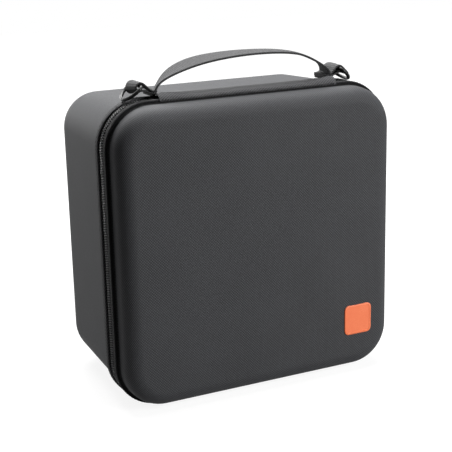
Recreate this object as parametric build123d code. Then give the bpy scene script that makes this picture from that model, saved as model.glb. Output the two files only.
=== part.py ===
from build123d import *
from math import acos, asin, atan2, cos, degrees, hypot, radians, sin
import os

# A moulded carrying case for a headband loupe, standing closed on its zip band.
# X is the width, the lid faces -Y, Z is up. The origin is the middle of the box around
# the whole case, on the surface that it stands on. Lengths are in millimetres.

# Overall sizes, taken over the zip band that runs round the joint of lid and base
case_width = 250.0
case_height = 248.0
corner_radius = 37.0
lid_depth = 31.7
base_depth = 125.6
wall = 4.5
lining = 1.2
clearance = 0.3

# Draft of the moulded walls and the rounding of their far edges
lid_draft = 3.0
lid_rounding = 13.0
base_draft = 2.4
base_rounding = 25.0

# The zip band: tape, coil and binding, measured out from the parting plane
band_half = 11.5
tape_thickness = 0.7
coil_thickness = 1.5
coil_half = 3.0
coil_sunk = 0.4
tape_start = 1.2
binding_start = 5.7
binding_edge = 0.9
rim_setback = 6.2
tooth_pitch = 5.0
tooth_width = 2.2
tooth_reach = 0.8
tooth_chamfer = 0.35
stop_length = 3.0

# Fabric gusset that hinges the lid, between the two ends of the zip
gusset_half = 79.0
gusset_thickness = 1.0
gusset_corner = 2.0

# Webbing handle: an arch of two radii that ends in flat sewn feet
webbing_width = 20.0
webbing_thickness = 1.8
handle_y = 9.0
handle_rise = 27.6
crown_radius = 215.0
crown_half = 44.0
shoulder_radius = 42.0
strap_slope = 55.0
foot_radius = 4.0
foot_joint = 5.0

# Webbing tabs that hold the two D-rings
tab_thickness = 2.4
tab_inner_end = 75.4
tab_bend = 80.5
tab_width = 19.0
fold_wall = 1.2
ring_bar_x = 89.0
ring_bar_rise = 9.6
ring_wire = 2.8
ring_inside = 20.6
ring_depth = 15.5
ring_bend = 3.4
ring_play = 0.2
bartack_length = 15.0
bartack_width = 1.3
bartack_height = 0.5

# Two zip sliders that meet nose to nose on the right side, with hinged pulls
zip_meeting_z = 120.0
slider_length = 13.0
slider_gap = 0.3
slider_nose_half = 5.2
slider_tail_half = 4.4
slider_plate = 1.0
slider_corner = 1.6
post_half = 0.8
post_length = 3.6
post_inset = 0.8
crown_length = 7.0
crown_width = 2.2
crown_leg = 1.1
crown_bar = 0.8
pull_pin = 1.6
pull_thickness = 1.6
pull_eye_half = 4.9
pull_window_half = 3.5
pull_window_end = 4.6
pull_eye_corner = 1.2
pull_half = 3.5
pull_tip_rounding = 2.6
pull_length = 30.0
pull_overlap = 1.0
grip_slot_half = 1.2
grip_slot_length = 4.0
grip_slot_rise = 6.0
upper_pull_turn = 40.0

# Foam inside: a die-cut block on a solid sheet, and a pad in the lid
foam_face = 2.0
foam_sheet = 30.0
headband_width = 188.0
headband_height = 118.0
headband_radius = 46.0
headband_drop = 96.0
headband_finger = 17.0
optics_width = 104.0
optics_height = 52.0
optics_depth = 14.0
optics_radius = 12.0
box_pocket_width = 88.0
box_pocket_height = 44.0
box_pocket_z = 52.0
box_pocket_x = 50.0
box_pocket_radius = 8.0
pad_thickness = 8.0
pad_margin = 9.0
pad_rounding = 3.0

# Plain woven label on the lid
label_size = 26.0
label_radius = 4.0
label_thickness = 0.8
label_rim = 1.6
label_recess = 0.3
label_margin = 37.0
label_z = 47.0

# Worked out from the sizes above
parting_y = (lid_depth + label_thickness - base_depth) / 2
band_thickness = tape_thickness + coil_thickness + coil_sunk
tape_out = coil_thickness + coil_sunk
top = case_height
right = case_width / 2
headband_z = top - headband_drop
handle_mid_y = parting_y + handle_y
TO_BACK = 1
TO_FRONT = -1


def outline_plane(depth, facing):
    """Plane across the case at a depth behind the parting plane, facing front or back."""
    return Plane(
        origin=(0, parting_y + depth, case_height / 2),
        x_dir=(1, 0, 0),
        z_dir=(0, facing, 0),
    )


def outline(inset, depth, facing):
    """The case's front outline, drawn in from the outside of the zip band."""
    shape = RectangleRounded(
        case_width - 2 * inset, case_height - 2 * inset, corner_radius - inset
    )
    return outline_plane(depth, facing) * shape


def tub(inset, start, length, facing, draft, rounding):
    """A moulded half as a full solid: drafted walls and a rounded far edge."""
    body = extrude(outline(inset, facing * start, facing), amount=length, taper=draft)
    far = body.faces().sort_by(Axis.Y)[-1 if facing == TO_BACK else 0]
    return fillet(far.edges(), rounding)


def skin(inset, start, reach, facing, draft, rounding, thickness):
    """A layer of one thickness that lines the inside of a moulded half."""
    outer = tub(inset, start, reach - start, facing, draft, rounding)
    inner = tub(
        inset + thickness,
        start,
        reach - start - thickness,
        facing,
        draft,
        rounding - thickness,
    )
    return outer - inner


def band(inset_out, inset_in, start, end, facing):
    """A flat ring that runs round the case between two insets and two depths."""
    outer = extrude(outline(inset_out, facing * start, facing), amount=end - start)
    inner = extrude(outline(inset_in, facing * start, facing), amount=end - start)
    return outer - inner


def block(x0, x1, y0, y1, z0, z1):
    """A box between two corners."""
    return Pos((x0 + x1) / 2, (y0 + y1) / 2, (z0 + z1) / 2) * Box(
        x1 - x0, y1 - y0, z1 - z0
    )


def left_of(part):
    """The mirror image of a piece on the case's other side."""
    return mirror(part, about=Plane.YZ)


# Moulded shells, linings and the label


def make_shell(facing):
    """Fabric-faced foam shell with its rim set back from the zip."""
    if facing == TO_BACK:
        return skin(
            band_thickness, rim_setback, base_depth, facing, base_draft, base_rounding, wall
        )
    return skin(
        band_thickness, rim_setback, lid_depth, facing, lid_draft, lid_rounding, wall
    )


def make_lining(facing):
    """Knitted lining bonded to the inside of a shell."""
    inset = band_thickness + wall
    if facing == TO_BACK:
        reach = base_depth - wall
        return skin(
            inset, rim_setback, reach, facing, base_draft, base_rounding - wall, lining
        )
    reach = lid_depth - wall
    return skin(inset, rim_setback, reach, facing, lid_draft, lid_rounding - wall, lining)


def make_label():
    """Blank rounded-square label with a raised rim, on the lid's face."""
    front = Plane(
        origin=(right - label_margin, parting_y - lid_depth, label_z),
        x_dir=(1, 0, 0),
        z_dir=(0, -1, 0),
    )
    patch = extrude(
        front * RectangleRounded(label_size, label_size, label_radius),
        amount=label_thickness,
    )
    field = RectangleRounded(
        label_size - 2 * label_rim, label_size - 2 * label_rim, label_radius - label_rim
    )
    field_plane = front.offset(label_thickness - label_recess)
    return patch - extrude(field_plane * field, amount=label_recess)


# Foam


def base_foam(start, end):
    """Foam that fills the base between two depths, a clearance inside its lining."""
    inset = band_thickness + wall + lining + clearance
    reach = base_depth - wall - lining - clearance
    rounding = base_rounding - wall - lining - clearance
    full = tub(inset, foam_face, reach - foam_face, TO_BACK, base_draft, rounding)
    slab = block(
        -right, right, parting_y + start, parting_y + end, 0, case_height
    )
    return full & slab


def foam_joint():
    """Depth at which the die-cut block meets the sheet behind it."""
    return base_depth - wall - lining - clearance - foam_sheet


def pocket(width, height, radius, x, z, start, depth):
    """A recess cut towards the back from a depth."""
    plane = Plane(
        origin=(x, parting_y + start, z), x_dir=(1, 0, 0), z_dir=(0, 1, 0)
    )
    return extrude(plane * RectangleRounded(width, height, radius), amount=depth)


def make_foam_block():
    """Die-cut foam with a headband recess, finger scoops and two accessory pockets."""
    foam = base_foam(foam_face, foam_joint())
    depth = foam_joint() - foam_face
    foam -= pocket(
        headband_width, headband_height, headband_radius, 0, headband_z, foam_face, depth
    )
    for side in (-1, 1):
        scoop_plane = Plane(
            origin=(
                side * optics_width / 2,
                parting_y + foam_face,
                headband_z + headband_height / 2,
            ),
            x_dir=(1, 0, 0),
            z_dir=(0, 1, 0),
        )
        foam -= extrude(scoop_plane * Circle(headband_finger), amount=depth)
        foam -= pocket(
            box_pocket_width,
            box_pocket_height,
            box_pocket_radius,
            side * box_pocket_x,
            box_pocket_z,
            foam_face,
            depth,
        )
    return foam


def make_foam_sheet():
    """Solid foam sheet at the back, with a shallow nest for the two loupe barrels."""
    start = foam_joint()
    reach = base_depth - wall - lining - clearance
    nest = pocket(
        optics_width, optics_height, optics_radius, 0, headband_z, start, optics_depth
    )
    return base_foam(start, reach) - nest


def make_lid_pad():
    """Soft pad bonded to the lid's lining, which presses on what the case holds."""
    inset = band_thickness + wall + lining + pad_margin
    back = lid_depth - wall - lining
    front = back - pad_thickness
    pad = extrude(outline(inset, -front, TO_FRONT), amount=pad_thickness)
    inner_face = pad.faces().sort_by(Axis.Y)[-1]
    return fillet(inner_face.edges(), pad_rounding)


# Zip band


def make_tape(facing):
    """Woven zip tape sewn over the shell's rim."""
    return band(tape_out, band_thickness, tape_start, band_half, facing)


def make_binding(facing):
    """Grosgrain strip sewn over the outer half of the tape, with a rounded edge."""
    strip = band(0, tape_out, binding_start, band_half, facing)
    far = strip.faces().sort_by(Axis.Y)[-1 if facing == TO_BACK else 0]
    return fillet(far.outer_wire().edges(), binding_edge)


def zip_route():
    """Middle line of the coil's right half, from the middle of the bottom up to the top."""
    inset = coil_sunk + coil_thickness / 2
    x = right - inset
    low = inset
    high = top - inset
    corners = [(0, 0, low), (x, 0, low), (x, 0, high), (0, 0, high)]
    return Pos(0, parting_y, 0) * FilletPolyline(*corners, radius=corner_radius - inset)


def make_tooth(facing):
    """One coil head, which reaches across the parting plane."""
    length = tape_start + 2 * tooth_reach
    outline_2d = Rectangle(tooth_width, length)
    head = outline_2d.vertices().group_by(Axis.Y)[0]
    tooth = extrude(
        chamfer(head, tooth_chamfer), amount=coil_thickness / 2, both=True
    )
    tooth = Pos(0, length / 2 - tooth_reach, 0) * tooth
    if facing == TO_FRONT:
        tooth = mirror(tooth, about=Plane.XZ)
    return tooth


def make_coil(facing):
    """Coil half: a strip along the tape's edge with a head at every pitch."""
    cut = gusset_half + stop_length
    strip = band(coil_sunk, tape_out, tape_start, coil_half, facing)
    strip -= block(-cut, cut, parting_y - band_half, parting_y + band_half, top / 2, top)
    route = zip_route()
    tooth = make_tooth(facing)
    parted = post_inset + post_length + slider_gap + clearance + tooth_width / 2
    travel = tooth_pitch / 2 if facing == TO_BACK else 0
    teeth = []
    while travel < route.length - cut - tooth_width / 2:
        share = travel / route.length
        point = route @ share
        along = route % share
        place = Plane(origin=point, x_dir=along, z_dir=along.cross(Vector(0, 1, 0)))
        head = place.location * tooth
        if abs(point.Z - zip_meeting_z) > parted:
            teeth.append(head)
        if travel > 0:
            teeth.append(left_of(head))
        travel += tooth_pitch
    return strip + teeth


def make_stops(facing):
    """Moulded stops at both ends of a coil half."""
    stop = block(
        gusset_half + clearance,
        gusset_half + stop_length,
        parting_y + clearance,
        parting_y + coil_half,
        top - tape_out,
        top - coil_sunk,
    )
    if facing == TO_FRONT:
        stop = Pos(0, parting_y, 0) * mirror(
            Pos(0, -parting_y, 0) * stop, about=Plane.XZ
        )
    return Compound(children=[stop, left_of(stop)])


def make_gusset():
    """Webbing strip over the joint, between the zip's two ends."""
    plane = Plane(origin=(0, parting_y, top), x_dir=(1, 0, 0), z_dir=(0, 0, 1))
    strip = RectangleRounded(2 * gusset_half, 2 * band_half, gusset_corner)
    return extrude(plane * strip, amount=gusset_thickness)


# Handle, tabs and rings


def strap_path():
    """Middle line of the right half of the handle, from its crown to its sewn end."""
    foot_z = top + gusset_thickness + webbing_thickness / 2
    start = (0, handle_mid_y, top + handle_rise)
    crown_turn = degrees(asin(crown_half / crown_radius))
    flat = Plane(origin=start, x_dir=(1, 0, 0), z_dir=(0, -1, 0))
    crown = JernArc((0, 0), (1, 0), crown_radius, -crown_turn)
    shoulder = JernArc(
        crown @ 1, crown % 1, shoulder_radius, -(strap_slope - crown_turn)
    )
    drop = foot_radius * (1 - cos(radians(strap_slope)))
    fall = (shoulder @ 1).Y + handle_rise + top - foot_z - drop
    riser = Line(
        shoulder @ 1, shoulder @ 1 + (shoulder % 1) * (fall / sin(radians(strap_slope)))
    )
    bend = JernArc(riser @ 1, riser % 1, foot_radius, strap_slope)
    foot = Line(bend @ 1, (gusset_half, (bend @ 1).Y))
    return flat.from_local_coords(Wire([crown, shoulder, riser, bend, foot]))


def half_strap():
    """Right half of the webbing handle in one piece, with its sewn foot."""
    path = strap_path()
    section = Plane(origin=path @ 0, x_dir=(0, 1, 0), z_dir=path % 0)
    return sweep(section * Rectangle(webbing_width, webbing_thickness), path=path)


def make_handle():
    """The free arch of the handle, above the sewn ends."""
    above = block(
        -case_width,
        case_width,
        -case_width,
        case_width,
        top + foot_joint + clearance,
        2 * case_height,
    )
    arch = half_strap() & above
    return arch + left_of(arch)


def make_handle_end():
    """The sewn foot of the handle at the right side."""
    below = block(0, case_width, -case_width, case_width, 0, top + foot_joint)
    return half_strap() & below


def ring_plane():
    """Plane of the right D-ring: its X runs back along the bar, its Y out to the bow."""
    bar = Vector(ring_bar_x, handle_mid_y, top + ring_bar_rise)
    centre_x = right - corner_radius
    centre_z = top - corner_radius
    reach = hypot(bar.X - centre_x, bar.Z - centre_z)
    seat = corner_radius + clearance + ring_wire / 2
    towards = degrees(atan2(centre_z - bar.Z, centre_x - bar.X))
    swing = degrees(
        acos((ring_depth**2 + reach**2 - seat**2) / (2 * ring_depth * reach))
    )
    angle = radians(towards + swing)
    outward = Vector(cos(angle), 0, sin(angle))
    return Plane(origin=bar, x_dir=(0, 1, 0), z_dir=Vector(0, 1, 0).cross(outward))


def make_ring():
    """Bent-wire D-ring: a straight bar in the tab and a bow that rests on the corner."""
    half = ring_inside / 2 + ring_wire / 2
    bar = Line((-half, 0), (half, 0))
    bow = ThreePointArc((half, 0), (0, ring_depth), (-half, 0))
    loop = fillet(make_face([bar, bow]).vertices(), ring_bend)
    path = ring_plane() * loop.face().outer_wire()
    section = Plane(origin=path @ 0, z_dir=path % 0)
    return sweep(section * Circle(ring_wire / 2), path=path)


def make_tab():
    """Webbing tab folded round the ring's bar and sewn down over the handle's foot."""
    sewn_z = gusset_thickness + webbing_thickness + tab_thickness / 2
    plane = Plane(
        origin=(0, handle_mid_y + tab_width / 2, top), x_dir=(1, 0, 0), z_dir=(0, -1, 0)
    )
    route = Polyline(
        (tab_inner_end, sewn_z), (tab_bend, sewn_z), (ring_bar_x, ring_bar_rise)
    )
    bore = ring_wire / 2 + ring_play
    fold = Pos(ring_bar_x, ring_bar_rise) * Circle(bore + fold_wall)
    hole = Pos(ring_bar_x, ring_bar_rise) * Circle(bore)
    profile = trace(route, line_width=tab_thickness) + fold - hole
    return extrude(plane * profile, amount=tab_width)


def make_bartacks():
    """Dense stitch bars through the tabs, the handle's ends and the gusset."""
    level = top + gusset_thickness + webbing_thickness + tab_thickness
    bars = []
    for x in (tab_inner_end + bartack_width, tab_bend - 2 * bartack_width):
        bar = block(
            x - bartack_width / 2,
            x + bartack_width / 2,
            handle_mid_y - bartack_length / 2,
            handle_mid_y + bartack_length / 2,
            level,
            level + bartack_height,
        )
        bars += [bar, left_of(bar)]
    return Compound(children=bars)


# Sliders and pulls, drawn on the right side with X out of the band and Z along it

slider_top = -coil_sunk + clearance
slider_floor = -band_thickness - clearance
crown_opening = pull_pin + 2 * clearance
pin_level = slider_top + slider_plate + clearance + pull_pin / 2


def slider_outline(level, thickness):
    """A slider's plate, broad at the nose and narrower at the tail."""
    plane = Plane(origin=(level, 0, 0), x_dir=(0, 1, 0), z_dir=(1, 0, 0))
    shape = Polygon(
        (slider_nose_half, 0),
        (-slider_nose_half, 0),
        (-slider_tail_half, -slider_length),
        (slider_tail_half, -slider_length),
        align=None,
    )
    shape = fillet(shape.vertices(), slider_corner)
    return extrude(plane * shape, amount=thickness)


def make_slider():
    """Lower slider: two plates, side flanges, the post at its nose and a bridge on top."""
    body = slider_outline(slider_top, slider_plate)
    body += slider_outline(slider_floor - slider_plate, slider_plate)
    flange_end = -tape_out + clearance
    walls = slider_outline(flange_end, slider_top - flange_end)
    lane = coil_half + clearance
    walls -= block(flange_end, slider_top, -lane, lane, -slider_length, 0)
    body += walls
    body += block(
        slider_floor,
        slider_top,
        -post_half,
        post_half,
        -post_inset - post_length,
        -post_inset,
    )
    foot = slider_top + slider_plate
    middle = -slider_length / 2
    bridge = block(
        foot,
        foot + crown_opening + crown_bar,
        -crown_width / 2,
        crown_width / 2,
        middle - crown_length / 2,
        middle + crown_length / 2,
    )
    bridge -= block(
        foot,
        foot + crown_opening,
        -crown_width,
        crown_width,
        middle - crown_length / 2 + crown_leg,
        middle + crown_length / 2 - crown_leg,
    )
    return body + bridge


def make_pull():
    """Flat pull with a window for the bridge and a pin under it; it hangs from the pin."""
    plane = Plane(
        origin=(-pull_thickness / 2, 0, 0), x_dir=(0, 1, 0), z_dir=(1, 0, 0)
    )
    eye_top = pull_pin / 2
    eye_length = pull_window_end + pull_window_half - pull_pin / 2
    eye = Pos(0, eye_top - (eye_length + pull_pin) / 2) * RectangleRounded(
        2 * pull_eye_half, eye_length + pull_pin, pull_eye_corner
    )
    tongue_length = pull_length - eye_length + pull_overlap
    tongue = Pos(0, tongue_length / 2 - pull_length) * RectangleRounded(
        2 * pull_half, tongue_length, pull_tip_rounding
    )
    window = Pos(0, -(pull_window_end + pull_pin / 2) / 2) * Rectangle(
        2 * pull_window_half, pull_window_end - pull_pin / 2
    )
    slot = Pos(0, grip_slot_rise - pull_length) * SlotOverall(
        grip_slot_length, 2 * grip_slot_half
    )
    blade = extrude(plane * (eye + tongue - window - slot), amount=pull_thickness)
    pin = Rot(90, 0, 0) * Cylinder(pull_pin / 2, 2 * (pull_eye_half - pull_pin / 3))
    return blade + pin


def at_sliders(part):
    """Move a piece drawn at the lower slider's nose to the place on the right side."""
    return Pos(right, parting_y, zip_meeting_z - slider_gap) * part


def upper(part):
    """The upper slider is the lower one turned nose down about the meeting point."""
    turned = Rot(180, 0, 0) * part
    return Pos(right, parting_y, zip_meeting_z + slider_gap) * turned


def place_pull(turn, height):
    """A pull on its pin, turned sideways in the band's plane."""
    return Pos(right + pin_level, parting_y, height) * Rot(turn, 0, 0) * make_pull()


lower_pin_z = zip_meeting_z - slider_gap - slider_length / 2
upper_pin_z = zip_meeting_z + slider_gap + slider_length / 2

pieces = {
    "rear_shell": make_shell(TO_BACK),
    "rear_lining": make_lining(TO_BACK),
    "foam_sheet": make_foam_sheet(),
    "foam_insert": make_foam_block(),
    "rear_zip_tape": make_tape(TO_BACK),
    "rear_zip_coil": make_coil(TO_BACK),
    "rear_zip_stops": make_stops(TO_BACK),
    "rear_binding": make_binding(TO_BACK),
    "hinge_gusset": make_gusset(),
    "handle_strap": make_handle(),
    "handle_end_right": make_handle_end(),
    "handle_end_left": left_of(make_handle_end()),
    "ring_tab_right": make_tab(),
    "ring_tab_left": left_of(make_tab()),
    "bartacks": make_bartacks(),
    "d_ring_right": make_ring(),
    "d_ring_left": left_of(make_ring()),
    "front_shell": make_shell(TO_FRONT),
    "front_lining": make_lining(TO_FRONT),
    "lid_pad": make_lid_pad(),
    "front_zip_tape": make_tape(TO_FRONT),
    "front_zip_coil": make_coil(TO_FRONT),
    "front_zip_stops": make_stops(TO_FRONT),
    "front_binding": make_binding(TO_FRONT),
    "blank_label": make_label(),
    "slider_lower": at_sliders(make_slider()),
    "slider_upper": upper(make_slider()),
    "pull_lower": place_pull(0, lower_pin_z),
    "pull_upper": place_pull(upper_pull_turn, upper_pin_z),
}

for node, piece in pieces.items():
    export_step(piece, f"parts/{node}.step")
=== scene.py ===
"""A moulded loupe case with a zip band, webbing handle and D-rings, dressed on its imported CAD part."""

from math import cos, pi, radians, sin, tan

import bpy
from mathutils import Matrix, Vector, noise


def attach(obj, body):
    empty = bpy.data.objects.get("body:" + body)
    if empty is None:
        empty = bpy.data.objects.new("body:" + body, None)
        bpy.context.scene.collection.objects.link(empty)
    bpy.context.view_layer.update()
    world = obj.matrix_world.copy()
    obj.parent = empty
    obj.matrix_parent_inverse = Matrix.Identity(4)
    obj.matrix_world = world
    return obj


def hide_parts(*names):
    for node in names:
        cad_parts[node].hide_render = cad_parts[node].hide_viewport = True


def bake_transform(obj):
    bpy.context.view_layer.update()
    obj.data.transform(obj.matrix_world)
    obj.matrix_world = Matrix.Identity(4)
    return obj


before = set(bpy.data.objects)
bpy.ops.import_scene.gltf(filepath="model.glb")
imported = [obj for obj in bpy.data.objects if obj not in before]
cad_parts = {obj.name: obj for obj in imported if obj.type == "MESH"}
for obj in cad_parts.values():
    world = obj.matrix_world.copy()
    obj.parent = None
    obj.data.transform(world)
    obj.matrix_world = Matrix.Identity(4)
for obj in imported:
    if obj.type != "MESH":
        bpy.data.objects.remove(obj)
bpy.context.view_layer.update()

# Sizes, in metres, as in the part's source
MM = 0.001
WIDTH, HEIGHT, CORNER = 250 * MM, 248 * MM, 37 * MM
PARTING = -46.55 * MM
LID_DEPTH, BASE_DEPTH = 31.7 * MM, 125.6 * MM
WALL, LINING, CLEARANCE = 4.5 * MM, 1.2 * MM, 0.3 * MM
BAND, BINDING_START, TAPE_START, RIM = 11.5 * MM, 5.7 * MM, 1.2 * MM, 6.2 * MM
TAPE_OUT, TAPE_IN = 1.9 * MM, 2.6 * MM
GUSSET_HALF = 79 * MM
HANDLE_Y = PARTING + 9 * MM
SLIDERS_Z = 120 * MM

# The two halves of the case
FRONT, BACK = -1, 1
SIDE = {FRONT: "front", BACK: "rear"}
BODY = {FRONT: "lid", BACK: "base"}
DEPTH = {FRONT: LID_DEPTH, BACK: BASE_DEPTH}
DRAFT = {FRONT: 3.0, BACK: 2.4}
ROUNDING = {FRONT: 13 * MM, BACK: 25 * MM}


# Working on one piece at a time


def put_down():
    """Leaves editing, with nothing selected."""
    if bpy.context.object and bpy.context.object.mode != "OBJECT":
        bpy.ops.object.mode_set(mode="OBJECT")
    bpy.ops.object.select_all(action="DESELECT")


def take_up(piece):
    """Makes one piece the only selected one."""
    put_down()
    piece.select_set(True)
    bpy.context.view_layer.objects.active = piece


def start(
    name, scale=(1, 1, 1), turn=(0, 0, 0), place=(0, 0, 0), add=bpy.ops.mesh.primitive_plane_add, **shape
):
    """A new primitive at its size and place, open for editing with all of it selected."""
    put_down()
    add(**shape)
    piece = bpy.context.object
    piece.name = piece.data.name = name
    piece.scale, piece.rotation_euler, piece.location = scale, turn, place
    bpy.ops.object.transform_apply(location=True, rotation=True, scale=True)
    bpy.ops.object.mode_set(mode="EDIT")
    bpy.ops.mesh.select_mode(type="FACE")
    bpy.ops.mesh.select_all(action="SELECT")
    return piece


def move(x=0.0, y=0.0, z=0.0):
    """Extrudes what is selected and moves it."""
    bpy.ops.mesh.extrude_region_move(TRANSFORM_OT_translate={"value": (x, y, z)})


def pick(piece, kind, wanted):
    """Selects the vertices or edges that a test wants, and leaves the piece open."""
    bpy.ops.mesh.select_mode(type=kind)
    bpy.ops.mesh.select_all(action="DESELECT")
    bpy.ops.object.mode_set(mode="OBJECT")
    for part in {"VERT": piece.data.vertices, "EDGE": piece.data.edges}[kind]:
        part.select = wanted(part)
    bpy.ops.object.mode_set(mode="EDIT")


def modify(piece, kind, **settings):
    """Adds a modifier and applies it."""
    take_up(piece)
    modifier = piece.modifiers.new(kind, kind)
    for key, value in settings.items():
        setattr(modifier, key, value)
    bpy.ops.object.modifier_apply(modifier=modifier.name)


def round_edges(piece, width, segments):
    """Bevels the sharp edges."""
    modify(piece, "BEVEL", width=width, segments=segments, limit_method="ANGLE", angle_limit=radians(50))


def face_outwards(piece):
    """Merges doubles and turns every face outwards."""
    take_up(piece)
    bpy.ops.object.mode_set(mode="EDIT")
    bpy.ops.mesh.select_all(action="SELECT")
    bpy.ops.mesh.remove_doubles(threshold=0.01 * MM)
    bpy.ops.mesh.normals_make_consistent(inside=False)
    put_down()


def give_finish(piece, finish):
    """Puts one material on a piece."""
    piece.data.materials.clear()
    piece.data.materials.append(finish)


def hand_over(piece, finish, slot, body, *nodes):
    """Smooths a finished piece, gives it its material, and lets it stand for its nodes on a body."""
    take_up(piece)
    bpy.ops.object.shade_smooth_by_angle(angle=radians(35))
    give_finish(piece, finish)
    if nodes:
        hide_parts(*nodes)
    if body:
        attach(piece, body)


def repeat(pattern, places, name):
    """Copies of one small piece at many places, joined."""
    put_down()
    for place in places:
        copy = bpy.data.objects.new(name, pattern.data.copy())
        copy.data.transform(place)
        bpy.context.collection.objects.link(copy)
        copy.select_set(True)
    bpy.context.view_layer.objects.active = copy
    bpy.ops.object.join()
    joined = bpy.context.object
    joined.name = joined.data.name = name
    bpy.data.objects.remove(pattern)
    return joined


# Materials


def colour(code):
    """sRGB hex as linear colour."""
    parts = [int(code[i : i + 2], 16) / 255 for i in (1, 3, 5)]
    return [c / 12.92 if c <= 0.04045 else ((c + 0.055) / 1.055) ** 2.4 for c in parts] + [1.0]


def node(tree, kind, links=None, **settings):
    """One node with its settings, and with each input joined to an output or given a value."""
    made = tree.nodes.new(kind)
    for key, value in settings.items():
        setattr(made, key, value)
    for socket, source in (links or {}).items():
        if isinstance(source, bpy.types.NodeSocket):
            tree.links.new(source, made.inputs[socket])
        else:
            made.inputs[socket].default_value = source
    return made


def new_material(name):
    """An empty material and its tree, with its texture coordinates."""
    made = bpy.data.materials.new(name)
    made.use_nodes = True
    made.node_tree.nodes.clear()
    return made, made.node_tree, node(made.node_tree, "ShaderNodeTexCoord").outputs


def finish_with(tree, level, dark, light, rough, height, depth, **sockets):
    """The shader: two colours mixed by a level, roughness, a bump of a depth in metres, and plain numbers."""
    mix = node(tree, "ShaderNodeMix", data_type="RGBA")
    tree.links.new(level, mix.inputs[0])
    mix.inputs[6].default_value = colour(dark)
    mix.inputs[7].default_value = colour(light)
    bump = node(tree, "ShaderNodeBump", {"Height": height, "Distance": depth, "Strength": 1.0})
    links = {"Base Color": mix.outputs[2], "Roughness": rough, "Normal": bump.outputs["Normal"]}
    links.update({key.replace("_", " "): value for key, value in sockets.items()})
    shader = node(tree, "ShaderNodeBsdfPrincipled", links)
    node(tree, "ShaderNodeOutputMaterial", {"Surface": shader.outputs["BSDF"]})


def period(length):
    """Scale of a wave texture that repeats at a length in metres."""
    return 2 * pi / (20 * length)


# Diagonal waves come out wider apart than waves along an axis, so their length is cut to this share
DIAGONAL = 0.707


def woven(name, light, dark, pitch, depth, rough, laid="Object", basket=False, **sockets):
    """Cloth with slanting yarns, crossed by others in a basket weave, and broken by lint and uneven dye."""
    made, tree, place = new_material(name)
    yarns = []
    for hand in (-1, 1) if basket else (-1,):
        slant = node(tree, "ShaderNodeMapping", {"Vector": place[laid], "Scale": (hand, 1, 1)})
        size = {"Scale": period(pitch * DIAGONAL), "Distortion": 0.3, "Detail": 1.0}
        wave = node(
            tree, "ShaderNodeTexWave", {"Vector": slant.outputs["Vector"], **size}, bands_direction="DIAGONAL"
        )
        yarns.append(wave.outputs["Fac"])
    weave = node(tree, "ShaderNodeMath", {0: yarns[0], 1: yarns[-1]}, operation="MULTIPLY").outputs[0]
    lint = node(
        tree, "ShaderNodeTexNoise", {"Vector": place["Object"], "Scale": 1 / (0.6 * pitch), "Detail": 1.0}
    ).outputs["Fac"]
    dye = node(
        tree, "ShaderNodeTexNoise", {"Vector": place["Object"], "Scale": 1 / (45 * MM), "Detail": 3.0}
    ).outputs["Fac"]
    broken = node(tree, "ShaderNodeMath", {0: lint, 1: 0.4, 2: weave}, operation="MULTIPLY_ADD").outputs[0]
    uneven = node(tree, "ShaderNodeMath", {0: dye, 1: 0.2, 2: broken}, operation="MULTIPLY_ADD").outputs[0]
    level = node(tree, "ShaderNodeMapRange", {"Value": uneven, "From Min": 0.2, "From Max": 0.9})
    finish_with(tree, level.outputs["Result"], dark, light, rough, broken, depth, **sockets)
    return made


def ribbed(name, light, dark, rib, weft, depth, rough, **sockets):
    """Narrow woven goods on a UV map in metres: ribs along the length, crossed by the weft, and lint."""
    made, tree, place = new_material(name)
    ribs, crossing = (
        node(
            tree, "ShaderNodeTexWave", {"Vector": place["UV"], "Scale": period(pitch), "Distortion": 0.4},
            bands_direction=way,
        ).outputs["Fac"]
        for pitch, way in ((rib, "Y"), (weft, "X"))
    )
    weave = node(tree, "ShaderNodeMath", {0: ribs, 1: crossing}, operation="MULTIPLY").outputs[0]
    lint = node(
        tree, "ShaderNodeTexNoise", {"Vector": place["Object"], "Scale": 1 / (1.2 * MM), "Detail": 3.0}
    ).outputs["Fac"]
    level = node(tree, "ShaderNodeMath", {0: lint, 1: 0.4, 2: weave}, operation="MULTIPLY_ADD").outputs[0]
    finish_with(tree, level, dark, light, rough, level, depth, **sockets)
    return made


def grained(name, light, dark, grain, depth, rough, **sockets):
    """A finish with a fine grain, in clouds of 12 grains: moulded plastic, foam cells, paint or thread."""
    made, tree, place = new_material(name)
    cells = node(tree, "ShaderNodeTexVoronoi", {"Vector": place["Object"], "Scale": 1 / grain})
    cloud = node(
        tree, "ShaderNodeTexNoise", {"Vector": place["Object"], "Scale": 1 / (12 * grain), "Detail": 4.0}
    )
    level = node(
        tree, "ShaderNodeMath", {0: cells.outputs["Distance"], 1: cloud.outputs["Fac"]}, operation="MULTIPLY"
    ).outputs[0]
    finish_with(tree, level, dark, light, rough, level, depth, **sockets)
    return made


# Each has its light and dark colour, the pitch or grain and the depth of its relief, and its roughness

# 600-denier polyester bonded to the moulded shells: dull, with the slanting grain of its basket weave.
# Its threads are 0.5 mm apart; they are drawn three times as coarse, so that they show.
cover = woven(
    "polyester_600d", "#404144", "#19191b", 1.6 * MM, 0.04 * MM, 0.72,
    laid="UV", basket=True, Specular_IOR_Level=0.35,
)
# Brushed nylon tricot: soft and matt, a little lighter than the cover. Its wales are drawn twice as coarse.
tricot = woven("brushed_tricot", "#424245", "#28282a", 0.9 * MM, 0.05 * MM, 0.9, Sheen_Weight=0.3)
# Zip tape: tightly woven polyester, flat and dull. Its yarns are drawn twice as coarse.
zip_cloth = woven("polyester_zip_tape", "#0f0f0f", "#050505", 1.2 * MM, 0.06 * MM, 0.8, Specular_IOR_Level=0.3)
# Twill tape of the front binding: slanting ribs, dull. They are drawn twice as coarse.
# Its colours carry painted shade: they are a darker copy of the rear binding's, for the shade of the groove
# beside it.
twill = woven("polyester_twill_tape", "#19191b", "#050506", 2.0 * MM, 0.04 * MM, 0.85, Specular_IOR_Level=0.2)
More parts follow.
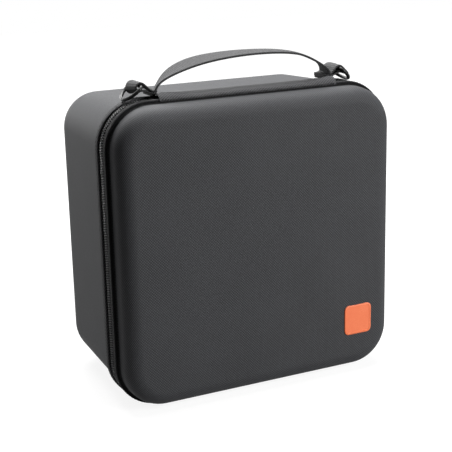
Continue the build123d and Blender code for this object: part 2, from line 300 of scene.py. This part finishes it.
# The hinge strip and the rear binding are the same tape in a looser weave. Their colours are the lighter copy
# of the front binding's: the difference between the two is painted light and shade, not the weave.
lit_twill = woven("lit_twill_tape", "#3f3f41", "#161618", 1.9 * MM, 0.12 * MM, 0.75, Specular_IOR_Level=0.3)
# Polypropylene webbing: coarse round yarns that catch the light, at their real pitch.
webbing_yarn = ribbed(
    "polypropylene_webbing", "#4a4a4c", "#060607", 1.6 * MM, 1.8 * MM, 0.25 * MM, 0.75, Specular_IOR_Level=0.35
)
# Cross-linked polyethylene foam: closed cells, cut smooth.
cut_foam = grained("polyethylene_foam", "#2d2d2f", "#19191b", 1.1 * MM, 0.12 * MM, 0.85)
# Moulded nylon of the coil and stops: satin.
coil_nylon = grained("moulded_nylon_coil", "#4a4a4c", "#1c1c1e", 0.5 * MM, 0.02 * MM, 0.35)
# Bonded polyester thread: its colours are painted lighter than the cloth, a painted sheen for its shine. The
# seams' thread is dyed to match.
thread = grained("polyester_thread", "#6f6f70", "#2f2f30", 0.4 * MM, 0.05 * MM, 0.5)
dark_thread = grained("dark_polyester_thread", "#2f2f30", "#131314", 0.4 * MM, 0.05 * MM, 0.5)
# Steel wire under black baked enamel.
ring_enamel = grained(
    "black_enamelled_wire", "#141415", "#080808", 0.6 * MM, 0.01 * MM, 0.42, Specular_IOR_Level=0.35
)
# Zinc casting under black electrophoretic paint.
slider_paint = grained("black_painted_zinc", "#181819", "#09090a", 0.6 * MM, 0.01 * MM, 0.33, Coat_Weight=0.3)
# Soft PVC label: matt, dyed through.
label_pvc = grained("moulded_soft_pvc", "#f0865a", "#e36e40", 0.7 * MM, 0.02 * MM, 0.55)


# The moulded shells and linings

# Faces round a corner and round an edge, and cuts along each straight side
CORNER_STEPS, ROUND_STEPS, SIDE_CUTS = 14, 14, 35
# Depths at which the binding's edge presses the moulded wall in, and how far
BITE = (BAND - 0.8 * MM, BAND - 0.1 * MM, BAND + 0.8 * MM, BAND + 1.8 * MM)
BITE_DEPTH = 0.9 * MM
# The lining's gap to the shell
BONDED = 0.02 * MM


def is_side(piece, edge):
    """True for a straight side of the outline, which is far longer than the steps of its corners."""
    first, second = (piece.data.vertices[index].co for index in edge.vertices)
    return (first - second).length > 20 * MM


def outline_face(name, inset, depth, facing):
    """A flat face with the case's outline, drawn in from the outside of the zip band."""
    piece = start(
        name,
        (WIDTH - 2 * inset, HEIGHT - 2 * inset, 1),
        (radians(-90 * facing), 0, 0),
        (0, PARTING + facing * depth, HEIGHT / 2),
        size=1,
    )
    bpy.ops.mesh.bevel(offset=CORNER - inset, segments=CORNER_STEPS, profile=0.5, affect="VERTICES")
    bpy.ops.mesh.select_all(action="SELECT")
    bpy.ops.mesh.delete(type="ONLY_FACE")
    pick(piece, "EDGE", lambda edge: is_side(piece, edge))
    bpy.ops.mesh.subdivide(number_cuts=SIDE_CUTS)
    bpy.ops.mesh.select_all(action="SELECT")
    bpy.ops.mesh.edge_face_add()
    bpy.ops.object.mode_set(mode="OBJECT")
    turned = piece.data.polygons[0].normal.y * facing < 0
    bpy.ops.object.mode_set(mode="EDIT")
    bpy.ops.mesh.select_mode(type="FACE")
    bpy.ops.mesh.select_all(action="SELECT")
    if turned:
        bpy.ops.mesh.flip_normals()
    return piece


def mould_line(inset, first, last, draft, rounding, *more):
    """Steps of a moulded wall from its rim to its face: a drafted side, at more depths, and a round edge."""
    slope = radians(draft)
    turn_depth = last - rounding + rounding * sin(slope)
    turn_inset = inset + (turn_depth - first) * tan(slope)
    middle = turn_inset + rounding * cos(slope)
    steps = [(inset, first)]
    for depth in (*more, turn_depth):
        steps.append((inset + (depth - first) * tan(slope), depth))
    for count in range(1, ROUND_STEPS + 1):
        angle = slope + (pi / 2 - slope) * count / ROUND_STEPS
        steps.append((middle - rounding * cos(angle), last - rounding + rounding * sin(angle)))
    # a narrow flat rim keeps the face's shading apart from the round edge's
    steps.append((steps[-1][0] + 1.5 * MM, last))
    return steps


def press(steps):
    """Carries the selected face through the steps of a mould line."""
    for (inset, depth), (next_inset, next_depth) in zip(steps, steps[1:]):
        bpy.ops.mesh.inset(thickness=next_inset - inset, depth=next_depth - depth, use_even_offset=True)


def moulded(name, inset, last, facing, rounding, thickness):
    """A moulded half with its wall inside the outer face, pressed in where the band's edge bites."""
    piece = outline_face(name, inset, RIM, facing)
    press(mould_line(inset, RIM, last, DRAFT[facing], rounding, *BITE, last - rounding - 1 * MM))
    bitten = PARTING + facing * (BITE[1] + BITE[2]) / 2
    pick(piece, "VERT", lambda vertex: abs(vertex.co.y - bitten) < BITE[2] - BITE[1])
    bpy.ops.transform.shrink_fatten(value=-BITE_DEPTH)
    modify(piece, "SOLIDIFY", thickness=thickness, offset=-1, use_even_offset=True)
    return piece


def lay_cloth(piece, face_y):
    """A UV map in metres, as cloth is drawn over the mould: flat on its face and straight down its walls."""
    layer = piece.data.uv_layers.active
    half_w, half_h = WIDTH / 2 - CORNER, HEIGHT / 2 - CORNER
    for loop in piece.data.loops:
        spot = piece.data.vertices[loop.vertex_index].co
        flat = Vector((spot.x, spot.z - HEIGHT / 2))
        core = Vector((max(-half_w, min(half_w, flat.x)), max(-half_h, min(half_h, flat.y))))
        out = flat - core
        if out.length > 0.1 * MM:
            out *= 1 + abs(face_y - spot.y) / out.length
        layer.data[loop.index].uv = core + out


for facing in (FRONT, BACK):
    side, body, depth, rounding = SIDE[facing], BODY[facing], DEPTH[facing], ROUNDING[facing]
    shell = moulded(f"{side}_cover", TAPE_IN, depth, facing, rounding, WALL)
    lay_cloth(shell, PARTING + facing * depth)
    hand_over(shell, cover, "shell_fabric", body, f"{side}_shell")
    inside = WALL + BONDED
    inner = moulded(f"{side}_inner_lining", TAPE_IN + inside, depth - inside, facing, rounding - WALL, LINING)
    hand_over(inner, tricot, "lining_fabric", body, f"{side}_lining")


# The foam: a die-cut block on a back sheet in the base, and a pad in the lid

FOAM_INSET = TAPE_IN + WALL + LINING + CLEARANCE
FOAM_START = 2 * MM
FOAM_END = BASE_DEPTH - WALL - LINING - CLEARANCE
FOAM_JOINT = FOAM_END - 30 * MM
JOINT_INSET = FOAM_INSET + (FOAM_JOINT - FOAM_START) * tan(radians(DRAFT[BACK]))
# Cut-outs: width, height and corner radius
HEADBAND_CUT = (188 * MM, 118 * MM, 46 * MM)
SCOOP_CUT = (34 * MM, 34 * MM, 16.9 * MM)
POCKET_CUT = (88 * MM, 44 * MM, 8 * MM)
NEST_CUT = (104 * MM, 52 * MM, 12 * MM)
NEST_DEPTH, OVERCUT = 14 * MM, 5 * MM
# Middles of the cut-outs: those of the headband and the nest are at X = 0, the others in pairs at +X and -X
HEADBAND_Z = 152 * MM
SCOOP_X, SCOOP_Z = 52 * MM, 211 * MM
POCKET_X, POCKET_Z = 50 * MM, 52 * MM
PAD_INSET = TAPE_IN + WALL + LINING + 9 * MM
PAD_BACK = LID_DEPTH - WALL - LINING
PAD_THICKNESS = 8 * MM


def slab(name, size, x, z, near, far):
    """A block with rounded corners between two depths behind the parting plane."""
    width, height, corner = size
    piece = start(name, (width, height, 1), (radians(90), 0, 0), (x, PARTING + near, z), size=1)
    bpy.ops.mesh.bevel(offset=corner, segments=10, profile=0.5, affect="VERTICES")
    bpy.ops.mesh.select_all(action="SELECT")
    move(y=far - near)
    face_outwards(piece)
    return piece


def cut_out(piece, *cutters):
    """Cuts other pieces out of one, and removes them."""
    for cutter in cutters:
        modify(piece, "BOOLEAN", operation="DIFFERENCE", object=cutter, solver="EXACT")
        bpy.data.objects.remove(cutter)


def close_back(piece):
    """Fills the open rim of a pressed piece."""
    bpy.ops.mesh.select_all(action="DESELECT")
    bpy.ops.mesh.select_mode(type="EDGE")
    bpy.ops.mesh.select_non_manifold()
    bpy.ops.mesh.edge_face_add()
    face_outwards(piece)


block = outline_face("die_cut_block", FOAM_INSET, FOAM_START, BACK)
press([(FOAM_INSET, FOAM_START), (JOINT_INSET, FOAM_JOINT)])
close_back(block)
through = (-OVERCUT, FOAM_JOINT + OVERCUT)
cut_out(
    block,
    slab("headband_cut", HEADBAND_CUT, 0, HEADBAND_Z, *through),
    slab("scoop_right_cut", SCOOP_CUT, SCOOP_X, SCOOP_Z, *through),
    slab("scoop_left_cut", SCOOP_CUT, -SCOOP_X, SCOOP_Z, *through),
    slab("pocket_right_cut", POCKET_CUT, POCKET_X, POCKET_Z, *through),
    slab("pocket_left_cut", POCKET_CUT, -POCKET_X, POCKET_Z, *through),
)
round_edges(block, 0.8 * MM, 2)
hand_over(block, cut_foam, "foam", "base", "foam_insert")

sheet = outline_face("foam_back_sheet", JOINT_INSET, FOAM_JOINT, BACK)
press(mould_line(JOINT_INSET, FOAM_JOINT, FOAM_END, DRAFT[BACK], 19 * MM))
close_back(sheet)
cut_out(sheet, slab("nest_cut", NEST_CUT, 0, HEADBAND_Z, FOAM_JOINT - OVERCUT, FOAM_JOINT + NEST_DEPTH))
hand_over(sheet, cut_foam, "foam", "base", "foam_sheet")

pad = outline_face("lid_cushion", PAD_INSET, -PAD_BACK, BACK)
press(mould_line(PAD_INSET, -PAD_BACK, PAD_THICKNESS - PAD_BACK, 1, 5 * MM))
close_back(pad)
hand_over(pad, tricot, "foam", "lid", "lid_pad")


# The zip band

# The coil's inset from the band's outside, its offset from the parting line, and its pitch
COIL_INSET, COIL_OFFSET, COIL_PITCH = 1.15 * MM, 0.7 * MM, 2.0 * MM
# Length and change of size along a turn: head, its end, neck, leg and its end
COIL_STEPS = ((0.9 * MM, 0.9), (0.35 * MM, 0.5), (0.35 * MM, 2.0), (0.8 * MM, 0.9), (0.35 * MM, 0.5))
# Stitches: length, width and height
SEAM_STITCH, SEAM_PITCH = (2.4 * MM, 0.4 * MM, 0.05 * MM), 3.2 * MM
OVERCAST_STITCH, OVERCAST_PITCH = (2.2 * MM, 0.7 * MM, 0.5 * MM), 2.2 * MM
TACK_STITCH, TACK_PITCH = (1.7 * MM, 0.6 * MM, 0.5 * MM), 0.68 * MM


def ring_strip(name, outer, inner, near, far, facing):
    """A flat strip that runs all round the case between two insets and two depths."""
    piece = outline_face(name, outer, near, facing)
    bpy.ops.mesh.inset(thickness=inner - outer, depth=0, use_even_offset=True)
    bpy.ops.mesh.delete(type="FACE")
    bpy.ops.mesh.select_all(action="SELECT")
    move(y=facing * (far - near))
    face_outwards(piece)
    return piece


def on_outline(inset, travel):
    """Place on the outline after a travel from the middle of the top, with the way out as an angle."""
    half_w, half_h, corner = WIDTH / 2 - inset, HEIGHT / 2 - inset, CORNER - inset
    x, z, out = 0.0, half_h, pi / 2
    across, down = half_w - corner, half_h - corner
    for leg in (across, 2 * down, 2 * across, 2 * down, across):
        step = min(travel, leg)
        x, z, travel = x + sin(out) * step, z - cos(out) * step, travel - step
        if travel <= 0:
            break
        centre_x, centre_z = x - cos(out) * corner, z - sin(out) * corner
        turn = min(travel / corner, pi / 2)
        out, travel = out - turn, travel - turn * corner
        x, z = centre_x + cos(out) * corner, centre_z + sin(out) * corner
        if travel <= 0:
            break
    return x, z + HEIGHT / 2, out


def along_outline(inset, y, pitch, shift, skip=None):
    """Places at a pitch round the outline, from a shift in pitches: X along it, Y back and Z outwards."""
    half_w, half_h, corner = WIDTH / 2 - inset, HEIGHT / 2 - inset, CORNER - inset
    length = 4 * (half_w + half_h) - 8 * corner + 2 * pi * corner
    count = round(length / pitch)
    places = []
    for number in range(count):
        x, z, out = on_outline(inset, (number + shift) * length / count)
        if skip and skip(x, z):
            continue
        turn = Matrix(((sin(out), 0, cos(out)), (0, 1, 0), (-cos(out), 0, sin(out))))
        places.append(Matrix.Translation((x, y, z)) @ turn.to_4x4())
    return places


def without_coil(x, z):
    """True where the hinge strip takes the place of the zip, and between the two parked sliders."""
    under_strip = abs(x) < GUSSET_HALF + 1.5 * MM and z > HEIGHT / 2
    return under_strip or (x > 0 and abs(z - SLIDERS_Z) < 4.6 * MM)


def coil_turn(name, facing):
    """One turn of the nylon coil: a head that hooks over the parting line, and a leg sewn down at its neck."""
    piece = start(
        name, turn=(radians(90 * facing), 0, 0), place=(0, -facing * 0.5 * MM, 0),
        add=bpy.ops.mesh.primitive_circle_add, vertices=8, radius=0.36 * MM, fill_type="NGON",
    )
    bpy.ops.transform.resize(value=(1.15, 1, 1.4))
    for step, share in COIL_STEPS:
        move(y=facing * step)
        bpy.ops.transform.resize(value=(share, 1, share))
    face_outwards(piece)
    return piece


def stitch(name, length, width, height):
    """One stitch of thread that dips into the cloth at both ends; it lies along X and stands up in Z."""
    piece = start(
        name, turn=(0, radians(90), 0), place=(-length / 2, 0, -height * 0.4),
        add=bpy.ops.mesh.primitive_circle_add, vertices=6, radius=width / 2, fill_type="NGON",
    )
    bpy.ops.transform.resize(value=(1, 0.6, 0.6))
    move(x=length / 4, z=height * 0.8)
    bpy.ops.transform.resize(value=(1, 1.6, 1.6))
    move(x=length / 2)
    move(x=length / 4, z=-height * 0.8)
    bpy.ops.transform.resize(value=(1, 0.6, 0.6))
    face_outwards(piece)
    return piece


for facing in (FRONT, BACK):
    side, body = SIDE[facing], BODY[facing]
    tape = ring_strip(f"{side}_tape", TAPE_OUT, TAPE_IN, TAPE_START, BAND, facing)
    hand_over(tape, zip_cloth, "zip_tape", body, f"{side}_zip_tape")
    strip = ring_strip(f"{side}_binding_strip", 0, TAPE_OUT, BINDING_START, BAND, facing)
    round_edges(strip, 0.8 * MM, 3)
    # the front binding takes the copy of the tape darkened with painted shade, the rear one the lighter copy
    hand_over(strip, twill if facing == FRONT else lit_twill, "binding", body, f"{side}_binding")
    seams = []
    for depth in (BINDING_START + 1.3 * MM, BAND - 1.5 * MM):
        seams += along_outline(0, PARTING + facing * depth, SEAM_PITCH, 0.25)
    seam = repeat(stitch(f"{side}_seam_stitch", *SEAM_STITCH), seams, f"{side}_binding_seam")
    hand_over(seam, dark_thread, "stitching", body)
    # the heads of one half lie between those of the other
    shift = 0 if facing == BACK else 0.5
    turns = along_outline(COIL_INSET, PARTING + facing * COIL_OFFSET, COIL_PITCH, shift, without_coil)
    coil = repeat(coil_turn(f"{side}_coil_turn", facing), turns, f"{side}_coil")
    hand_over(coil, coil_nylon, "zip_coil", body, f"{side}_zip_coil")


# The hinge strip between the two ends of the zip, gathered at its ends and sewn down


def strip_rise(x, y):
    """Height of the hinge strip over the binding, with y from -1 at its front to 1 at its back."""
    end = max(0.0, (abs(x) / GUSSET_HALF - 0.5) / 0.5)
    gather = end * end * (3 - 2 * end)
    # two or three folds run along the strip, and short puckers break them
    ridge = 0.5 + 0.5 * sin(7.5 * y + 2.2 * noise.noise(Vector((x * 40, y, 2.0))))
    pucker = noise.noise(Vector((x * 260, y * 1.6, 5.0)))
    # it is sewn flat along both its edges, and swells towards its back
    crown = max(0.0, 1 - abs(y) ** 4)
    swell = max(0.0, sin(pi * min(1.0, (y + 1) / 1.15)))
    rise = 0.35 + 0.35 * noise.noise(Vector((x * 90, y * 2.2, 0.0)))
    return MM * (crown * (rise + gather * (0.6 + 0.7 * ridge + 0.8 * pucker)) + gather * swell * 2.4)


gusset = start(
    "hinge_strip", (2 * GUSSET_HALF, 2 * BAND, 1), place=(0, PARTING, HEIGHT + 0.1 * MM),
    add=bpy.ops.mesh.primitive_grid_add, x_subdivisions=130, y_subdivisions=18, size=1,
)
put_down()
for vertex in gusset.data.vertices:
    across = (vertex.co.y - PARTING) / BAND
    vertex.co.z += strip_rise(vertex.co.x, across)
    # its front edge is turned down over the binding
    if across < -0.9:
        vertex.co.y -= 0.5 * MM
    if across < -0.99:
        vertex.co.z -= 2.1 * MM
modify(gusset, "SOLIDIFY", thickness=0.9 * MM, offset=1)
modify(gusset, "SUBSURF", levels=1, render_levels=1)
# the hinge strip takes the lighter copy of the binding tape, painted lighter than the front binding's
hand_over(gusset, lit_twill, "webbing", None, "hinge_gusset")
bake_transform(gusset)

overcast = []
for number in range(70):
    along = (number - 34.5) * OVERCAST_PITCH
    place = Matrix.Translation((along, PARTING - BAND - 1.35 * MM, HEIGHT - 0.5 * MM))
    overcast.append(place @ Matrix.Rotation(radians(90), 4, "X") @ Matrix.Rotation(radians(60), 4, "Z"))
hinge_seam = repeat(stitch("overcast_stitch", *OVERCAST_STITCH), overcast, "hinge_seam")
hand_over(hinge_seam, dark_thread, "stitching", "lid")


# The webbing handle and its tabs

STRAP_HALF, STRAP_THICKNESS = 10 * MM, 1.7 * MM
TAB_HALF, TAB_THICKNESS = 9.5 * MM, 1.2 * MM
# Control points (x, z) in mm of a front and a rear edge. The strap twists a little: its edges come
# down at different places.
STRAP_FRONT = [
    (-80, 249.9), (-79, 249.9), (-78.5, 250.5), (-77, 255.5), (-72, 260.5), (-60, 265.3), (-41, 270.6),
    (-21, 273.6), (0, 275.2), (20, 275.4), (38, 274.4), (52, 272.2), (61, 268.2), (69, 263.8),
    (76.5, 259.0), (81, 253.0), (79.5, 249.9), (76, 249.9),
]
STRAP_REAR = [
    (-80, 249.9), (-76, 249.9), (-71, 250.1), (-68.5, 254.5), (-64, 261.5), (-57, 267.5), (-44, 272.9),
    (-27, 275.6), (-6, 276.6), (12, 276.5), (32, 275.6), (50, 273.2), (63, 269.6), (72, 265.6),
    (80.5, 261.4), (82.5, 254.0), (80, 249.9), (76, 249.9),
]
# Each tab is a loose loop round its ring's bar: the right one ends in a flat flap, the left one in a roll.
TAB_ROOT = [(80.4, 251.6), (78, 251.5), (75.4, 251.5)]
TABS = {
    "right": (
        [(75.4, 252.8), (78, 252.8), (80.6, 253.4), (83.5, 256.2), (86.2, 259.6), (89.6, 260.3), (92, 258.4),
         (95, 255.4), (97.3, 253.0), (97.0, 251.9), (94, 253.0), (90, 254.6), (87, 254.6), (83.5, 252.6)],
        [(75.4, 252.8), (78, 252.8), (80.6, 253.6), (83.5, 256.6), (86.4, 259.6), (89.6, 260.4), (93, 259.6),
         (96, 258.8), (98.3, 258.0), (98.1, 256.8), (95, 256.6), (91, 255.4), (87, 254.4), (83.5, 252.6)],
    ),
    "left": (
        [(75.4, 252.8), (78, 252.8), (81, 253.6), (84.5, 257.4), (88, 260.6), (91, 260.4), (93.2, 258),
         (92.4, 254.8), (89.5, 253.8), (86.5, 254.6), (83.5, 252.8)],
        [(75.4, 252.8), (78, 252.8), (80.8, 254.2), (84.5, 258.4), (88.5, 260.6), (92.5, 259.8), (94.8, 255.8),
         (93.6, 251.2), (89.5, 250.0), (86.5, 251.6), (83.5, 252)],
    ),
}
HAND = {"right": 1, "left": -1}
# Faces across a piece of webbing
CELLS = 8


def smooth_line(line, y):
    """Points of a smooth NURBS line through a plane at y, from its control points (x, z) in mm."""
    put_down()
    bpy.ops.curve.primitive_nurbs_path_add()
    path = bpy.context.object
    path.data.resolution_u = 10
    spline = path.data.splines[0]
    spline.points.add(len(line) - len(spline.points))
    for point, (x, z) in zip(spline.points, line):
        point.co = (x * MM, y, z * MM, 1)
    spline.order_u = 4
    spline.use_endpoint_u = True
    bpy.ops.object.convert(target="MESH")
    return bpy.context.object


def ribbon(name, front_line, rear_line, half, thickness):
    """Webbing between a front and a rear edge line, with a UV map in metres along and across it."""
    low_y, high_y = HANDLE_Y - half, HANDLE_Y + half
    guide = smooth_line(rear_line, high_y)
    rear = [v.co.copy() for v in guide.data.vertices]
    bpy.data.objects.remove(guide)
    piece = smooth_line(front_line, low_y)
    piece.name = piece.data.name = name
    front = [v.co.copy() for v in piece.data.vertices]
    # each place on the front line is found again by its x and z after the line has been drawn across
    places, travel = {}, 0.0
    for index, spot in enumerate(front):
        if index:
            travel += (spot - front[index - 1]).length
        places[(round(spot.x, 7), round(spot.z, 7))] = (index, travel)
    bpy.ops.object.mode_set(mode="EDIT")
    bpy.ops.mesh.select_mode(type="EDGE")
    bpy.ops.mesh.select_all(action="SELECT")
    for _ in range(CELLS):
        move(y=(high_y - low_y) / CELLS)
    put_down()
    spots = [places[(round(v.co.x, 7), round(v.co.z, 7))] for v in piece.data.vertices]
    layer = piece.data.uv_layers.new(name="weave")
    for loop in piece.data.loops:
        spot = piece.data.vertices[loop.vertex_index].co
        layer.data[loop.index].uv = (spots[loop.vertex_index][1], spot.y - low_y)
    for vertex, (index, _) in zip(piece.data.vertices, spots):
        share = (vertex.co.y - low_y) / (high_y - low_y)
        vertex.co = front[index].lerp(rear[index], share)
    modify(piece, "SOLIDIFY", thickness=thickness, offset=0)
    round_edges(piece, thickness * 0.35, 2)
    return piece


strap = ribbon("webbing_handle", STRAP_FRONT, STRAP_REAR, STRAP_HALF, STRAP_THICKNESS)
hand_over(strap, webbing_yarn, "webbing", None, "handle_strap", "handle_end_right", "handle_end_left")
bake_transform(strap)

for side, lines in TABS.items():
    edges = [[(HAND[side] * x, z) for x, z in line + TAB_ROOT] for line in lines]
    tab = ribbon(f"{side}_tab", *edges, TAB_HALF, TAB_THICKNESS)
    hand_over(tab, webbing_yarn, "webbing", "base", f"ring_tab_{side}")

bars = []
for x in (76.7 * MM, 78.4 * MM, -76.7 * MM, -78.4 * MM):
    for number in range(22):
        place = Matrix.Translation((x, HANDLE_Y + (number - 10.5) * TACK_PITCH, 253.3 * MM))
        bars.append(place @ Matrix.Rotation(0.25, 4, "Z"))
tacks = repeat(stitch("bartack_stitch", *TACK_STITCH), bars, "bartack_rows")
# the bartacks' thread carries a painted sheen in its lighter colours
hand_over(tacks, thread, "stitching", "base", "bartacks")


# The blank label, with a raised rim round a sunk face

LABEL, LABEL_X, LABEL_Z = 26 * MM, 88 * MM, 47 * MM
badge = start(
    "soft_label", (LABEL, LABEL, 1), (radians(90), 0, 0), (LABEL_X, PARTING - LID_DEPTH, LABEL_Z), size=1
)
bpy.ops.mesh.bevel(offset=4 * MM, segments=8, profile=0.5, affect="VERTICES")
bpy.ops.mesh.select_all(action="SELECT")
for inset, rise in ((0, 0.6 * MM), (0.3 * MM, 0.2 * MM), (1.1 * MM, 0), (0.3 * MM, -0.3 * MM)):
    bpy.ops.mesh.inset(thickness=inset, depth=rise)
hand_over(badge, label_pvc, "label", "lid", "blank_label")

# The rigid metal and plastic nodes keep their shapes
for finish, names in (
    (ring_enamel, ("d_ring_right", "d_ring_left")),
    (slider_paint, ("slider_lower", "slider_upper", "pull_lower", "pull_upper")),
    (coil_nylon, ("front_zip_stops", "rear_zip_stops")),
):
    for name in names:
        give_finish(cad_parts[name], finish)


# The camera, as fitted to the photograph: a little above the case and to the left of its front

AZIMUTH, ELEVATION, ROLL = radians(25.957), radians(15.274), radians(-1.407)
TARGET, DISTANCE = Vector((-19.397 * MM, PARTING, 136.994 * MM)), 936.231 * MM

back = Vector((-sin(AZIMUTH) * cos(ELEVATION), -cos(AZIMUTH) * cos(ELEVATION), sin(ELEVATION)))
level = (-back).cross(Vector((0, 0, 1))).normalized()
upright = level.cross(-back)
right = cos(ROLL) * level + sin(ROLL) * upright
up = cos(ROLL) * upright - sin(ROLL) * level
lens = bpy.data.cameras.new("camera")
lens.lens = 91.04
lens.sensor_width = 36
lens.sensor_fit = "HORIZONTAL"
camera = bpy.data.objects.new("camera", lens)
bpy.context.collection.objects.link(camera)
place = Matrix((right, up, back)).transposed().to_4x4()
place.translation = TARGET + back * DISTANCE
camera.matrix_world = place
bpy.context.scene.camera = camera


# Light and the pale surroundings

MIDDLE = Vector((0, 0, 0.12))


def lamp(name, spot, size, power):
    """A square soft box that looks at the middle of the case."""
    light = bpy.data.lights.new(name, "AREA")
    light.shape, light.size, light.energy = "SQUARE", size, power
    box = bpy.data.objects.new(name, light)
    bpy.context.collection.objects.link(box)
    box.location = spot
    box.rotation_euler = (MIDDLE - Vector(spot)).to_track_quat("-Z", "Y").to_euler()


lamp("overhead_softbox", (0.2, 0.1, 1.4), 0.6, 23)
lamp("rear_softbox", (0.0, 0.9, 1.4), 1.0, 35)
lamp("front_right_softbox", (1.0, -1.5, 0.9), 0.8, 36)
lamp("low_reflector", (1.3, -1.5, 0.16), 0.3, 9)
lamp("rear_left_softbox", (-0.6, 2.4, 0.5), 0.5, 19)


def lookers(tree):
    """Rays that come straight from the camera, and rays that come by way of metal or glass."""
    path = node(tree, "ShaderNodeLightPath").outputs
    mirrored = node(
        tree, "ShaderNodeMath", {0: path["Is Glossy Ray"], 1: path["Is Transmission Ray"]}, operation="ADD"
    )
    return path["Is Camera Ray"], mirrored.outputs[0]


# White paper behind the case and a dark room in front of it, as its reflections show
world = bpy.data.worlds.new("studio")
world.use_nodes = True
bpy.context.scene.world = world
tree = world.node_tree
tree.nodes.clear()
direct, mirrored = lookers(tree)
way = node(tree, "ShaderNodeSeparateXYZ", {"Vector": node(tree, "ShaderNodeTexCoord").outputs["Generated"]})
behind = node(
    tree, "ShaderNodeMapRange", {"Value": way.outputs["Y"], "From Min": -0.2, "From Max": 0.5, "To Max": 0.7}
).outputs["Result"]
gloss = node(tree, "ShaderNodeMath", {0: mirrored, 1: behind}, operation="MULTIPLY").outputs[0]
shown = node(tree, "ShaderNodeMath", {0: direct, 1: gloss}, operation="MAXIMUM").outputs[0]
# every other ray meets a faint light all round
strength = node(tree, "ShaderNodeMath", {0: shown, 1: 0.02}, operation="MAXIMUM").outputs[0]
sky = node(tree, "ShaderNodeBackground", {"Color": (1, 1, 1, 1), "Strength": strength})
node(tree, "ShaderNodeOutputWorld", {"Surface": sky.outputs["Background"]})

# A sweep of paper: white where it is looked at, but for a little painted shade round the case, where its glow
# is dimmed, and to the front left a dark card that only reflections show
floor = start("floor", (6, 6, 1), place=(0, 0, -0.05 * MM), size=1)
put_down()
made, tree, spot = new_material("white_paper_sweep")
direct, mirrored = lookers(tree)
reach = node(tree, "ShaderNodeVectorMath", {0: spot["Object"]}, operation="LENGTH").outputs["Value"]
# the glow is dimmed towards the case: a painted shade round it
painted_shade_fade = node(
    tree, "ShaderNodeMapRange",
    {"Value": reach, "From Min": 0.12, "From Max": 0.5, "To Min": 0.88, "To Max": 1.0},
).outputs["Result"]
to_right = node(
    tree, "ShaderNodeVectorMath", {0: spot["Object"], 1: (0.7, 0.7, 0.0)}, operation="DOT_PRODUCT"
).outputs["Value"]
past_card = node(
    tree, "ShaderNodeMapRange", {"Value": to_right, "From Min": -0.42, "From Max": -0.22, "To Max": 0.6}
).outputs["Result"]
lit = node(tree, "ShaderNodeMath", {0: mirrored, 1: past_card}, operation="MULTIPLY").outputs[0]
looked_at = node(tree, "ShaderNodeMath", {0: direct, 1: lit}, operation="ADD").outputs[0]
glow = node(tree, "ShaderNodeMath", {0: looked_at, 1: painted_shade_fade}, operation="MULTIPLY").outputs[0]
paper = node(tree, "ShaderNodeBsdfDiffuse", {"Color": colour("#747474")})
white = node(tree, "ShaderNodeEmission", {"Color": (1, 1, 1, 1), "Strength": glow})
both = node(tree, "ShaderNodeAddShader", {0: paper.outputs[0], 1: white.outputs[0]})
node(tree, "ShaderNodeOutputMaterial", {"Surface": both.outputs[0]})
floor.data.materials.append(made)

bpy.context.scene.view_settings.view_transform = "Standard"
